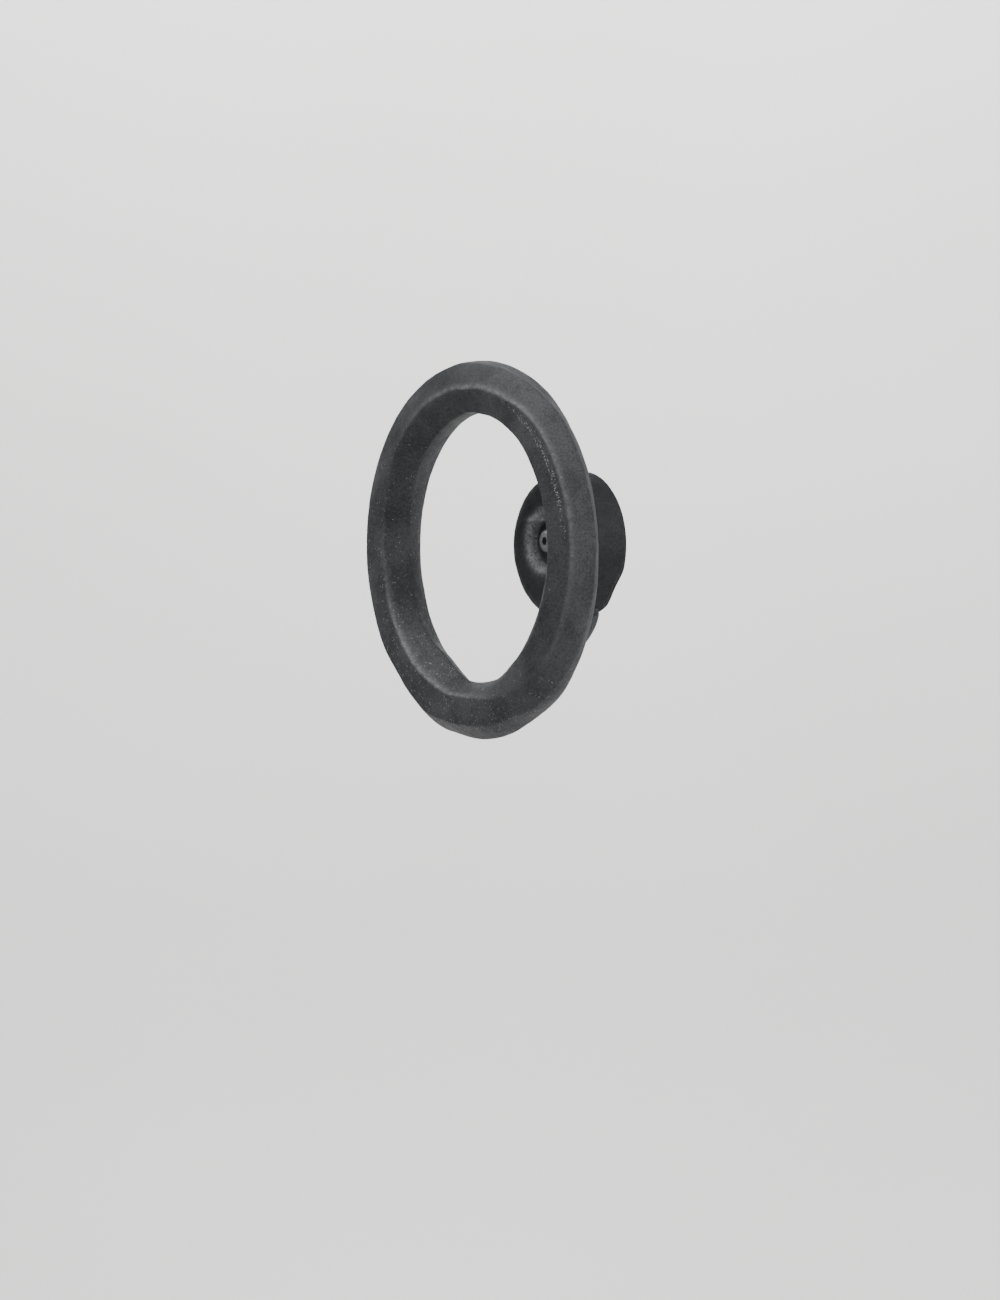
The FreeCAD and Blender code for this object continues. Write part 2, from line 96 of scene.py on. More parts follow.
def copy_of_node(name, node):
    """A new mesh object with the shape of a CAD node, welded."""
    bm = bmesh.new()
    bm.from_mesh(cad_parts[node].data)
    bmesh.ops.remove_doubles(bm, verts=bm.verts, dist=WELD_DISTANCE)
    mesh = bpy.data.meshes.new(name)
    bm.to_mesh(mesh)
    bm.free()
    return new_object(name, mesh)


def add_mesh(item, verts, faces):
    """Adds more vertices and faces to a mesh object."""
    bm = bmesh.new()
    bm.from_mesh(item.data)
    made = [bm.verts.new(v) for v in verts]
    for face in faces:
        bm.faces.new([made[i] for i in face])
    bm.normal_update()
    bm.to_mesh(item.data)
    bm.free()


def closed_tube(rings):
    """Points, and quads between rings of points, of a tube that closes on itself."""
    count, around = len(rings), len(rings[0])
    verts = [point for ring in rings for point in ring]
    faces = []
    for i in range(count):
        nxt = (i + 1) % count
        for j in range(around):
            k = (j + 1) % around
            faces.append((i * around + j, i * around + k, nxt * around + k, nxt * around + j))
    return verts, faces


def remesh(item, voxel):
    """Fuses overlapping shells into one skin of even quads."""
    modifier = item.modifiers.new("skin", "REMESH")
    modifier.mode = "VOXEL"
    modifier.voxel_size = voxel
    modifier.use_smooth_shade = True
    graph = bpy.context.evaluated_depsgraph_get()
    mesh = bpy.data.meshes.new_from_object(item.evaluated_get(graph))
    item.modifiers.clear()
    old = item.data
    item.data = mesh
    bpy.data.meshes.remove(old)


def points_of(item):
    co = np.zeros(len(item.data.vertices) * 3)
    item.data.vertices.foreach_get("co", co)
    return co.reshape(-1, 3)


def normals_of(item):
    n = np.zeros(len(item.data.vertices) * 3)
    item.data.vertex_normals.foreach_get("vector", n)
    return n.reshape(-1, 3)


def set_points(item, co):
    item.data.vertices.foreach_set("co", co.astype(np.float32).ravel())
    item.data.update()


def smooth_where(item, weight, rounds):
    """In each round, moves a point towards its neighbours' average: half of the way where the weight is 1."""
    co = points_of(item)
    edges = np.zeros(len(item.data.edges) * 2, int)
    item.data.edges.foreach_get("vertices", edges)
    a, b = edges.reshape(-1, 2).T
    count = len(co)
    valence = np.bincount(a, minlength=count) + np.bincount(b, minlength=count)
    for _ in range(rounds):
        total = np.stack([
            np.bincount(a, co[b, axis], count) + np.bincount(b, co[a, axis], count) for axis in range(3)
        ], 1)
        co += (total / valence[:, None] - co) * weight[:, None] * 0.5
    set_points(item, co)


def smooth_step(x, low, high):
    """0 below low, 1 above high and a smooth rise between them."""
    t = np.clip((x - low) / (high - low), 0, 1)
    return t * t * (3 - 2 * t)


def bell(x, width):
    """1 at 0, falling off to both sides."""
    return np.exp(-(x / width) ** 2)


def distance(co, place):
    return np.linalg.norm(co - place, axis=1)


def lumps(co, layers):
    """Smooth noise at each point. A layer is a height, the size of its features in millimetres and a seed."""
    total = 0
    for height, size, seed in layers:
        shift = Vector((seed * 3.7, seed * 1.3, seed * 5.1))
        total = total + height * np.array([noise.noise(Vector(p) / (size * MM) + shift) for p in co])
    return total


def attribute(item, name, values):
    layer = item.data.attributes.new(name, "FLOAT", "POINT")
    layer.data.foreach_set("value", values.astype(np.float32))


def cover(item, material):
    item.data.materials.clear()
    item.data.materials.append(material)


# ---- materials ----

# the colour sockets of the mix node, which shares its socket names among its data types
MIX_FIRST = 6
MIX_SECOND = 7
MIX_RESULT = 2


class Nodes:
    """A material's node tree, with short calls for what repeats."""

    def __init__(self, name):
        self.material = bpy.data.materials.new(name)
        self.material.use_nodes = True
        self.tree = self.material.node_tree
        self.shader = self.tree.nodes["Principled BSDF"]
        coords = self.tree.nodes.new("ShaderNodeTexCoord")
        self.place = coords.outputs["Object"]

    def add(self, kind, **inputs):
        node = self.tree.nodes.new(kind)
        for key, value in inputs.items():
            self.feed(node.inputs[key], value)
        return node

    def feed(self, socket, value):
        if isinstance(value, bpy.types.NodeSocket):
            self.tree.links.new(value, socket)
        else:
            socket.default_value = value

    def noise(self, scale, detail=3.0, rough=0.5):
        inputs = {"Vector": self.place, "Scale": scale, "Detail": detail, "Roughness": rough}
        return self.add("ShaderNodeTexNoise", **inputs).outputs["Fac"]

    def speckles(self, scale, size):
        """Small round dots at random places: 1 in a dot's middle, 0 outside it."""
        cells = self.add("ShaderNodeTexVoronoi", Vector=self.place, Scale=scale)
        return self.span(cells.outputs["Distance"], size, size * 0.4)

    def span(self, value, low, high, to_low=0.0, to_high=1.0):
        node = self.tree.nodes.new("ShaderNodeMapRange")
        self.feed(node.inputs["Value"], value)
        self.feed(node.inputs["From Min"], low)
        self.feed(node.inputs["From Max"], high)
        self.feed(node.inputs["To Min"], to_low)
        self.feed(node.inputs["To Max"], to_high)
        return node.outputs["Result"]

    def math(self, operation, a, b):
        node = self.tree.nodes.new("ShaderNodeMath")
        node.operation = operation
        self.feed(node.inputs[0], a)
        self.feed(node.inputs[1], b)
        return node.outputs["Value"]

    def ramp(self, value, stops):
        node = self.tree.nodes.new("ShaderNodeValToRGB")
        self.feed(node.inputs["Fac"], value)
        for element, (place, colour) in zip(node.color_ramp.elements, stops):
            element.position = place
            element.color = (*colour, 1.0)
        return node.outputs["Color"]

    def attribute(self, name):
        """A number stored on the mesh's points, 0 where the mesh has none."""
        node = self.tree.nodes.new("ShaderNodeAttribute")
        node.attribute_name = name
        return node.outputs["Fac"]

    def mix(self, factor, first, second):
        node = self.tree.nodes.new("ShaderNodeMix")
        node.data_type = "RGBA"
        self.feed(node.inputs["Factor"], factor)
        self.feed(node.inputs[MIX_FIRST], first)
        self.feed(node.inputs[MIX_SECOND], (*second, 1.0))
        return node.outputs[MIX_RESULT]

    def bump(self, height, distance, after=None):
        node = self.add("ShaderNodeBump", Height=height, Distance=distance, Strength=1.0)
        if after is not None:
            self.feed(node.inputs["Normal"], after)
        return node.outputs["Normal"]

    def finish(self, **inputs):
        for key, value in inputs.items():
            self.feed(self.shader.inputs[key.replace("_", " ")], value)
        return self.material


CLOUDS_SHARE = 0.45            # of the cloudy tone, the rest being the fine grain
GRAIN_COLOUR = (0.38, 0.38, 0.37)
WORN_GRAINS = 0.9              # how likely bright grains are on fully rubbed iron
SCATTER_ABOVE = 0.98           # a scattered grain shows where its likelihood and a noise add up to this
ROW_ABOVE = 0.75               # the finer grains all show where the grains attribute is above this
RUBBED_SMOOTHER = 0.16         # how much less rough the rubbed iron is


def cast_iron(name, light, dark, rub_and_highlight, shine):
    """Blackened sand-cast iron: grainy skin, cloudy tone, rubbed ridges painted lighter still as highlight,
    and small bright grains.
    The mesh's attribute for rubbing and highlight says how far it is rubbed and painted lighter as highlight,
    its grains attribute how many grains it has."""
    n = Nodes(name)
    clouds = n.noise(70.0, detail=4.0, rough=0.6)
    grain = n.noise(1500.0, rough=0.6)
    cloudy = n.math("MULTIPLY", clouds, CLOUDS_SHARE)
    tone = n.math("ADD", cloudy, n.math("MULTIPLY", grain, 1 - CLOUDS_SHARE))
    colour = n.ramp(tone, [(0.41, dark), (0.60, light)])

    # painted highlight: where the mesh's rubbing attribute is high the colour turns to the rubbed colour,
    # which is rubbed wear and painted highlight together
    wear_and_sheen = n.attribute("wear_and_sheen")
    patches = n.span(n.noise(900.0), 0.30, 0.62, to_low=0.4)
    patchy = n.math("MULTIPLY", wear_and_sheen, patches)
    colour = n.mix(patchy, colour, rub_and_highlight)

    grains = n.attribute("grains")
    likely = n.math("MAXIMUM", grains, n.math("MULTIPLY", wear_and_sheen, WORN_GRAINS))
    picked = n.math("GREATER_THAN", n.math("ADD", likely, n.noise(420.0, detail=1.0)), SCATTER_ABOVE)
    scattered = n.math("MULTIPLY", n.speckles(1250.0, size=0.29), picked)
    row = n.math("GREATER_THAN", grains, ROW_ABOVE)
    in_row = n.math("MULTIPLY", n.speckles(1700.0, size=0.36), row)
    bright = n.math("MAXIMUM", scattered, in_row)
    strength = n.math("MULTIPLY", bright, n.span(grains, 0.4, 0.9, to_low=0.65, to_high=0.95))
    colour = n.mix(strength, colour, GRAIN_COLOUR)

    unrubbed = n.span(n.noise(300.0), 0.3, 0.7, to_low=0.54, to_high=0.68)
    rough = n.math("SUBTRACT", unrubbed, n.math("MULTIPLY", patchy, RUBBED_SMOOTHER))
    coarse = n.bump(n.noise(330.0, rough=0.55), 0.22 * MM)
    fine = n.bump(grain, 0.20 * MM, after=coarse)
    raised = n.bump(bright, 0.06 * MM, after=fine)
    return n.finish(
        Base_Color=colour, Roughness=rough, Normal=raised, Metallic=0.0, Specular_IOR_Level=shine,
    )


def plain_metal(name, light, dark, roughness, mark_scale, mark_depth):
    """Machined or plated metal: faint stains, fine marks and uneven shine."""
    n = Nodes(name)
    stain = n.noise(180.0, detail=4.0, rough=0.6)
    colour = n.ramp(stain, [(0.35, dark), (0.65, light)])
    rough = n.span(n.noise(500.0), 0.3, 0.7, to_low=roughness - 0.07, to_high=roughness + 0.10)
    marks = n.bump(n.noise(mark_scale), mark_depth)
    return n.finish(Base_Color=colour, Roughness=rough, Normal=marks, Metallic=1.0)


def rubber():
    """Matt black sheet rubber with a faint dusty bloom."""
    n = Nodes("sheet_rubber")
    bloom = n.noise(220.0, detail=4.0, rough=0.6)
    colour = n.ramp(bloom, [(0.35, (0.012, 0.012, 0.012)), (0.7, (0.030, 0.030, 0.029))])
    skin = n.bump(n.noise(1500.0), 0.03 * MM)
    return n.finish(Base_Color=colour, Roughness=0.85, Normal=skin, Metallic=0.0)


ring_iron = cast_iron(
    "cast_iron_ring",
    light=(0.054, 0.056, 0.060), dark=(0.017, 0.019, 0.021), rub_and_highlight=(0.172, 0.176, 0.182), shine=0.35,
)
# the rose's iron is darker than the ring's, as painted shade for the boss behind the ring; its rubbed colour
# is much lighter, as painted highlight on the dish's lip and bead
rose_iron = cast_iron(
    "cast_iron_rose",
    light=(0.026, 0.028, 0.030), dark=(0.012, 0.013, 0.0145), rub_and_highlight=(0.250, 0.254, 0.260), shine=0.26,
)
screw_steel = plain_metal(
    "dull_screw_steel",
    light=(0.36, 0.365, 0.37), dark=(0.20, 0.205, 0.21), roughness=0.40,
    mark_scale=1400.0, mark_depth=0.05 * MM,
)
black_steel = plain_metal(
    "blackened_steel",
    light=(0.13, 0.13, 0.135), dark=(0.07, 0.07, 0.075), roughness=0.42,
    mark_scale=900.0, mark_depth=0.02 * MM,
)
hard_steel = plain_metal(
    "hardened_steel",
    light=(0.42, 0.42, 0.43), dark=(0.28, 0.28, 0.30), roughness=0.28,
    mark_scale=1100.0, mark_depth=0.02 * MM,
)
brass = plain_metal(
    "turned_brass",
    light=(0.62, 0.46, 0.20), dark=(0.45, 0.31, 0.13), roughness=0.33,
    mark_scale=1000.0, mark_depth=0.02 * MM,
)
sheet_rubber = rubber()


def dress(node, material):
    """Gives a CAD node a better material, in all its slots."""
    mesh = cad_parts[node].data
    for index in range(len(mesh.materials)):
        mesh.materials[index] = material
    if not mesh.materials:
        mesh.materials.append(material)


# the CAD nodes that are seen as they are
FINISHES = {
    "fixing_screw": screw_steel,
    "back_plate": black_steel,
    "back_plate_screws": black_steel,
    "anti_turn_pins": black_steel,
    "ring_stud": black_steel,
    "anvil_plug": hard_steel,
    "striker_plug": hard_steel,
    "hinge_pin": hard_steel,
    "ring_key_pin": hard_steel,
    "pin_blocks": brass,
    "pivot_bushes": brass,
}
for node_name, finish in FINISHES.items():
    dress(node_name, finish)


# ---- ring and arm: one casting ----

# Places round the ring are angles from +X towards +Z. Places round its bar are angles from straight outward,
# turning towards the front. Most of the tables hold values at a few places round the ring.

# The bar is dressed to six soft facets. One crest between two of them faces the front, at these places round
# the bar. The other five crests follow it, a sixth of a turn apart.
CREST_AT = [(0, 37), (45, 50), (62, 76), (85, 93), (115, 107), (150, 112), (180, 129), (205, 122),
            (275, 123), (325, 46)]
FACET_FLATNESS = [(0, 0.85), (45, 0.9), (85, 1.0), (120, 0.8), (150, 0.6), (190, 0.6), (220, 1.0),
                  (265, 1.0), (290, 0.4), (335, 0.5)]
CREST_SPACING = 60.0
CREST_ROUNDING = 1.8           # degrees round the bar
CREST_WANDER = [(2.5, 9, 8)]   # a layer of lumps, in degrees round the bar
FACET_FILL = 0.8               # millimetres added all round to make up for the facets

# How far the front crest is rubbed and painted lighter as highlight, and how many degrees this spreads over
# the facets beside it: far over the facet above, which faces the light, little over the one below. On the
# lower arc the facet above the crest lies on the other side of it.
CREST_WEAR_AND_HIGHLIGHT = [(0, 0.4), (45, 0.55), (85, 0.9), (120, 0.3), (150, 0.1), (190, 0.35), (210, 0.9), (250, 0.8),
              (272, 0.7), (290, 0.1), (335, 0.2)]
WEAR_AND_HIGHLIGHT_SPREAD_ABOVE = 9.0
WEAR_AND_HIGHLIGHT_SPREAD_BELOW = 2.2
WEAR_AND_HIGHLIGHT_PATCHES = [(0.4, 2.5, 9)]
WEAR_AND_HIGHLIGHT_LEVEL = 0.85
LOWER_ARC_MIDDLE = 242
LOWER_ARC_REACH = 55

# a second, fainter ridge inside the crest at the lower left, in millimetres
INNER_RIDGE_AT = [(185, 145), (225, 148), (260, 158)]
INNER_RIDGE_HEIGHT = [(185, 0.0), (205, 0.35), (245, 0.35), (265, 0.0)]
INNER_RIDGE_WIDTH = 10.0
INNER_RIDGE_ROUNDING = 0.3

# a shallow seam in place of the crest down the left limb, with a low swelling beside it
GROOVE_DEPTH = [(130, 0.0), (150, 0.28), (195, 0.32), (208, 0.0)]
GROOVE_WIDTH = 5
SWELLING_OFF = 11
SWELLING_WIDTH = 7
SWELLING_SHARE = 0.7

# flats and corners left by the dressing: where round the ring, how wide in degrees, how high in millimetres
OUTER_FLATS = [(92, 9, 0.5), (200, 13, -0.6), (226, 7, -0.8), (245, 8, 1.1), (292, 8, -0.7), (309, 8, 0.6)]
INNER_FLATS = [(90, 32, 0.9), (90, 8, -0.5), (206, 9, -0.4), (234, 11, 2.0), (247, 7, 0.6), (274, 12, 0.7),
               (322, 24, 1.0)]

# bright grains stand in a row beside the crest at the upper right, and are thick on the lower left
GRAIN_ROW_AT = [(5, 53), (20, 57), (40, 66), (62, 84)]
GRAIN_ROW = [(0, 0.0), (12, 1.0), (50, 1.0), (68, 0.0)]
GRAIN_ROW_WIDTH = 7
GRAINS_ALL_OVER = [(0, 0.15), (60, 0.12), (120, 0.3), (190, 0.42), (250, 0.46), (300, 0.42), (335, 0.25)]

RING_LUMPS = [(0.22, 26, 1), (0.12, 9, 2), (0.07, 3.2, 3)]

# The ring isn't quite round, and its top leans a little off the door. Each line is in millimetres: a shift of
# the whole ring, what goes with the height on it and what goes with the side.
BEND_ACROSS = (-0.6, -0.75, 0.9)
BEND_DEEPER = (-0.1, -0.7, 0.0)

# distances from the place where the arm meets the ring, between which things fade
FILLET_FADE = (9 * MM, 13 * MM)
DRESSING_FADE = (8 * MM, 12 * MM)
BEND_FADE = (8 * MM, 25 * MM)

# heights over the bar's skin between which the ring gives way to the arm
RING_TO_ARM = (0.3 * MM, 2.0 * MM)
# depths along Y between which the arm turns plain, because it runs in the rose's slot
SLOT_FADE = (-14 * MM, -11 * MM)

# the arm's shoulder comes up close to the rose
ARM_SHOULDER = np.array((14.0, -4.0, -25.0)) * MM
ARM_SHOULDER_RISE = np.array((1.3, 0.8, 1.9)) * MM
ARM_SHOULDER_SIZE = 3.5 * MM

# the arm leans towards the ring before it meets it, but not within these distances from the bar's middle
ARM_LEAN = 2.6 * MM
ARM_LEAN_HEIGHT = -36.0 * MM
ARM_LEAN_SIZE = 5.5 * MM
ARM_LEAN_FADE = (9 * MM, 13 * MM)


def along(points, angle):
    """Reads a value off a few (degrees, value) points round a full turn, joined by a smooth line."""
    keys, values = zip(*points)
    steps = (-10, -5, 0, 5, 10)
    return sum(np.interp(angle + step, keys, values, period=360) for step in steps) / len(steps)


def from_crest(round_ring, round_bar, wander):
    """Degrees round the section from the front crest, -180 to 180."""
    return (round_bar - along(CREST_AT, round_ring) - wander + 180) % 360 - 180


def facet_depth(round_ring, off):
    """How far the dressed facets lie below the round bar, as a share of its radius."""
    near = np.abs((off + CREST_SPACING / 2) % CREST_SPACING - CREST_SPACING / 2)
    near = np.sqrt(near ** 2 + CREST_ROUNDING ** 2)
    half = math.radians(CREST_SPACING / 2)
    flat = 1 - math.cos(half) / np.cos(half - np.radians(near))
    return flat * along(FACET_FLATNESS, round_ring)


def groove(round_ring, off):
    swelling = SWELLING_SHARE * bell(off - SWELLING_OFF, SWELLING_WIDTH)
    return along(GROOVE_DEPTH, round_ring) * (bell(off, GROOVE_WIDTH) - swelling)


def inner_ridge(round_ring, round_bar):
    off = (round_bar - along(INNER_RIDGE_AT, round_ring)) / INNER_RIDGE_WIDTH
    rounded = np.sqrt(off ** 2 + INNER_RIDGE_ROUNDING ** 2) - INNER_RIDGE_ROUNDING
    return along(INNER_RIDGE_HEIGHT, round_ring) * np.exp(-rounded)


def flats(table, round_ring):
    return sum(height * bell(round_ring - at, wide) for at, wide, height in table)


def hand_dressing(round_ring, round_bar):
    """Flats on the outline and in the opening where the casting was dressed, in millimetres."""
    outward = np.cos(np.radians(round_bar))
    outer = flats(OUTER_FLATS, round_ring) * np.clip(outward, 0, 1)
    return outer + flats(INNER_FLATS, round_ring) * np.clip(-outward, 0, 1)


def bend(turn, shift, with_height, with_side):
    return shift + with_height * np.sin(turn) + with_side * np.cos(turn)


def ring_sections():
    """Sections of the plain ring bar, slightly thin so that the ridges reach its full size."""
    sections = []
    slim = BAR_RADIUS - 0.2 * MM
    for i in range(RING_STEPS):
        turn = 2 * math.pi * i / RING_STEPS
        out = Vector((math.cos(turn), 0, math.sin(turn)))
        centre = RING_CENTRE + out * PATH_RADIUS
        sections.append([
            centre + (out * math.cos(a) - Vector((0, 1, 0)) * math.sin(a)) * slim
            for a in (2 * math.pi * j / BAR_STEPS for j in range(BAR_STEPS))
        ])
    return sections


def ring_angles(co):
    """For each point: degrees round the ring, degrees round its bar, and distance from the bar's middle."""
    rel = co - np.array(RING_CENTRE)
    flat = np.hypot(rel[:, 0], rel[:, 2])
    round_ring = np.degrees(np.arctan2(rel[:, 2], rel[:, 0])) % 360
    outward = flat - PATH_RADIUS
    round_bar = np.degrees(np.arctan2(-rel[:, 1], outward)) % 360
    return round_ring, round_bar, np.hypot(outward, rel[:, 1])


def ring_meets_arm():
    """The point on the ring bar's skin where the arm's middle line enters it."""
    stud = middle("ring_stud")
    rel = stud - RING_CENTRE
    out = Vector((rel.x, 0, rel.z)).normalized()
    bar = RING_CENTRE + out * PATH_RADIUS
    return np.array(bar + (stud - bar).normalized() * BAR_RADIUS)


def make_knocker():
    item = copy_of_node("knocker_casting", "knocker_arm")
    verts, faces = closed_tube(ring_sections())
    add_mesh(item, verts, faces)
    remesh(item, RING_VOXEL)
    join = ring_meets_arm()

    # a fillet where the arm meets the ring, then a light smoothing of the remesh's steps
    co = points_of(item)
    near = 1 - smooth_step(distance(co, join), *FILLET_FADE)
    smooth_where(item, near, 60)
    smooth_where(item, np.full(len(co), 0.6), 2)

    co = points_of(item)
    normals = normals_of(item)
    round_ring, round_bar, from_bar = ring_angles(co)
    ring_ends, arm_begins = RING_TO_ARM
    on_ring = 1 - smooth_step(from_bar, BAR_RADIUS + ring_ends, BAR_RADIUS + arm_begins)
    clear_of_arm = smooth_step(distance(co, join), *DRESSING_FADE)
    off = from_crest(round_ring, round_bar, lumps(co, CREST_WANDER))
    shaped = FACET_FILL - facet_depth(round_ring, off) * BAR_RADIUS / MM
    shaped = shaped + inner_ridge(round_ring, round_bar) - groove(round_ring, off)
    shaped = (shaped + hand_dressing(round_ring, round_bar)) * on_ring * clear_of_arm
    uneven = lumps(co, RING_LUMPS) * (1 - smooth_step(co[:, 1], *SLOT_FADE))
    co += normals * ((shaped + uneven) * MM)[:, None]

    shoulder = bell(distance(co, ARM_SHOULDER), ARM_SHOULDER_SIZE) * (1 - on_ring)
    co += shoulder[:, None] * ARM_SHOULDER_RISE
    turn = np.radians(round_ring)
    bent = on_ring * smooth_step(distance(co, join), *BEND_FADE)
    co[:, 0] += bent * bend(turn, *BEND_ACROSS) * MM
    co[:, 1] += bent * bend(turn, *BEND_DEEPER) * MM
    lean = bell(co[:, 2] - ARM_LEAN_HEIGHT, ARM_LEAN_SIZE) * smooth_step(from_bar, *ARM_LEAN_FADE)
    co[:, 1] -= lean * ARM_LEAN
    set_points(item, co)

    row = bell(round_bar - along(GRAIN_ROW_AT, round_ring), GRAIN_ROW_WIDTH) * along(GRAIN_ROW, round_ring)
    attribute(item, "grains", np.clip(row + along(GRAINS_ALL_OVER, round_ring), 0, 1) * on_ring)
    # painted highlight and rubbing end sharply at the crest and fade out over the lit facet above it
    above = np.where(np.abs(round_ring - LOWER_ARC_MIDDLE) < LOWER_ARC_REACH, off, -off)
    spread = np.where(above > 0, WEAR_AND_HIGHLIGHT_SPREAD_ABOVE, WEAR_AND_HIGHLIGHT_SPREAD_BELOW)
    rub_and_highlight = bell(off, spread) * along(CREST_WEAR_AND_HIGHLIGHT, round_ring) * (WEAR_AND_HIGHLIGHT_LEVEL + lumps(co, WEAR_AND_HIGHLIGHT_PATCHES))
    attribute(item, "wear_and_sheen", np.clip(rub_and_highlight, 0, 1) * on_ring)
    cover(item, ring_iron)
    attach(item, BODY_OF_RING)
    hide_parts("knocker_ring", "knocker_arm")


# ---- rose and its seal ----

# distances from the rose's axis or its dish's, or depths along Y, between which things fade
RIM_FADE = (19 * MM, 22 * MM)
FRONT_FADE = (-14.5 * MM, -12.5 * MM)
BACK_FADE = (-4.5 * MM, -2.0 * MM)
DISH_FADE = (9 * MM, 11 * MM)
DISH_FLOOR_FADE = (-11.6 * MM, -10.9 * MM)

DISH_ACROSS = 1.0 * MM         # the dish lies this far right of its screw
DISH_SMOOTHER = 0.6            # how much less uneven the dish is
ROSE_LUMPS = [(0.26, 14, 4), (0.16, 5, 5), (0.08, 2.2, 6)]

# the slot that the arm moves in, which stays plain
SLOT_HALF_WIDTH = 5.8 * MM
SLOT_TOP = -5 * MM

# the front falls away gently into the dish, from well outside its mouth
FALL_FADE = (8 * MM, 14.5 * MM)
FALL_DEPTH = 1.5 * MM

# a raised, ragged bead of metal on the dish's upper lip
BEAD_ACROSS = -3.7 * MM
BEAD_UP = 7.1 * MM
BEAD_HALF_LENGTH = 3.6 * MM
BEAD_HALF_WIDTH = 0.9 * MM
BEAD_FRONT = -12 * MM          # only points in front of this depth belong to it
BEAD_HEIGHT = 1.7 * MM
BEAD_LEVEL = 0.9
BEAD_RAGS = [(0.5, 1.4, 7)]

# the dish's lip is rubbed and painted lighter all round as highlight
LIP_RADIUS = 9.6 * MM
LIP_WIDTH = 1.5 * MM
LIP_WEAR_AND_HIGHLIGHT_LEVEL = 0.9
LIP_PATCHES = [(0.3, 3.0, 10)]
ROSE_GRAINS = 0.12             # bright grains all over the rose
LIP_GRAINS = 0.75              # and how many more on its lip and bead

# the rose's flattened side, towards the arm: its place is in degrees from +X towards +Z
CHORD_AT = -40.0
CHORD_WIDTH = 20.0
CHORD_DEPTH = 2.3 * MM
SLOT_WALL_FADE = (14 * MM, 17 * MM)     # the slot's walls, left of this, aren't moved across
SEAL_INSET = 0.4 * MM
SEAL_EDGE = 0.9                # points beyond this share of the seal's radius belong to its edge


def rose_chord(co):
    """How far each point moves in to flatten the rose's side; the slot's walls keep their places across."""
    rel = co - np.array(ROSE_CENTRE)
    from_axis = np.hypot(rel[:, 0], rel[:, 2])
    round_rose = np.degrees(np.arctan2(rel[:, 2], rel[:, 0]))
    depth = CHORD_DEPTH * bell(round_rose - CHORD_AT, CHORD_WIDTH)
    move = rel * (depth / from_axis)[:, None]
    move[:, 0] *= smooth_step(co[:, 0], *SLOT_WALL_FADE)
    move[:, 1] = 0
    return move


def make_door_seal():
    """The rubber seat, trimmed to the rose's outline."""
    item = copy_of_node("door_seal", "door_gasket")
    co = points_of(item)
    from_axis = np.hypot(co[:, 0] - ROSE_CENTRE.x, co[:, 2] - ROSE_CENTRE.z)
    spare = ROSE_RADIUS - SEAL_INSET - from_axis.max()
    move = rose_chord(co)
    size = np.linalg.norm(move, axis=1)
    trim = np.clip(size - spare, 0, None) / np.maximum(size, 1e-9)
    co -= move * (trim * (from_axis > SEAL_EDGE * from_axis.max()))[:, None]
    set_points(item, co)
    for polygon in item.data.polygons:
        polygon.use_smooth = False
    cover(item, sheet_rubber)
    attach(item, BODY_OF_ROSE)
    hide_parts("door_gasket")


def make_rose():
    item = copy_of_node("rose_casting", "rose")
    remesh(item, ROSE_VOXEL)
    smooth_where(item, np.full(len(item.data.vertices), 0.5), 2)
    co = points_of(item)
    normals = normals_of(item)
    rel = co - np.array(ROSE_CENTRE)
    from_axis = np.hypot(rel[:, 0], rel[:, 2])
    from_dish = np.hypot(co[:, 0] - DISH_ACROSS, co[:, 2])
    in_slot = (np.abs(co[:, 0] - PIN_CENTRE.x) < SLOT_HALF_WIDTH) & (co[:, 2] < SLOT_TOP)
    rim = smooth_step(from_axis, *RIM_FADE)
    front = 1 - smooth_step(co[:, 1], *FRONT_FADE)
    dish = (1 - smooth_step(from_dish, *DISH_FADE)) * (1 - smooth_step(co[:, 1], *DISH_FLOOR_FADE))
    back = smooth_step(co[:, 1], *BACK_FADE)
    skin = np.clip(rim + front + dish, 0, 1) * (1 - DISH_SMOOTHER * dish) * (1 - back)
    skin *= np.where(in_slot, 0.0, 1.0)
    co += normals * (lumps(co, ROSE_LUMPS) * skin * MM)[:, None]

    fall = 1 - smooth_step(from_dish, *FALL_FADE)
    co[:, 1] += fall * front * FALL_DEPTH
    co -= rose_chord(co) * rim[:, None]
    bead = bell(co[:, 0] - BEAD_ACROSS, BEAD_HALF_LENGTH) * bell(co[:, 2] - BEAD_UP, BEAD_HALF_WIDTH)
    bead *= co[:, 1] < BEAD_FRONT
    co[:, 1] -= bead * (BEAD_LEVEL + lumps(co, BEAD_RAGS)) * BEAD_HEIGHT
    set_points(item, co)

    lip = bell(from_dish - LIP_RADIUS, LIP_WIDTH) * front
    # the lip and the bead are painted lighter: rubbed wear together with painted highlight
    rub_and_highlight = lip * (LIP_WEAR_AND_HIGHLIGHT_LEVEL + lumps(co, LIP_PATCHES)) + bead
    attribute(item, "wear_and_sheen", np.clip(rub_and_highlight, 0, 1))
    attribute(item, "grains", ROSE_GRAINS + LIP_GRAINS * np.clip(lip + bead, 0, 1))
    cover(item, rose_iron)
    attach(item, BODY_OF_ROSE)
    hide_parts("rose")


make_knocker()
make_rose()
make_door_seal()


# ---- stage, lights and camera ----

UP = Vector((0, 0, 1))

# the paper sweep, in metres from the object as the camera sees it
FLOOR_HEIGHT = -0.70
SWEEP_FRONT = -4.0
SWEEP_REACH = 2.6
SWEEP_TOP = 2.2
SWEEP_HALF_WIDTH = 3.5
SWEEP_BEND = 0.5
SWEEP_BEND_STEPS = 12

WORLD_COLOUR = (0.95, 0.96, 1.0, 1.0)
WORLD_STRENGTH = 0.42

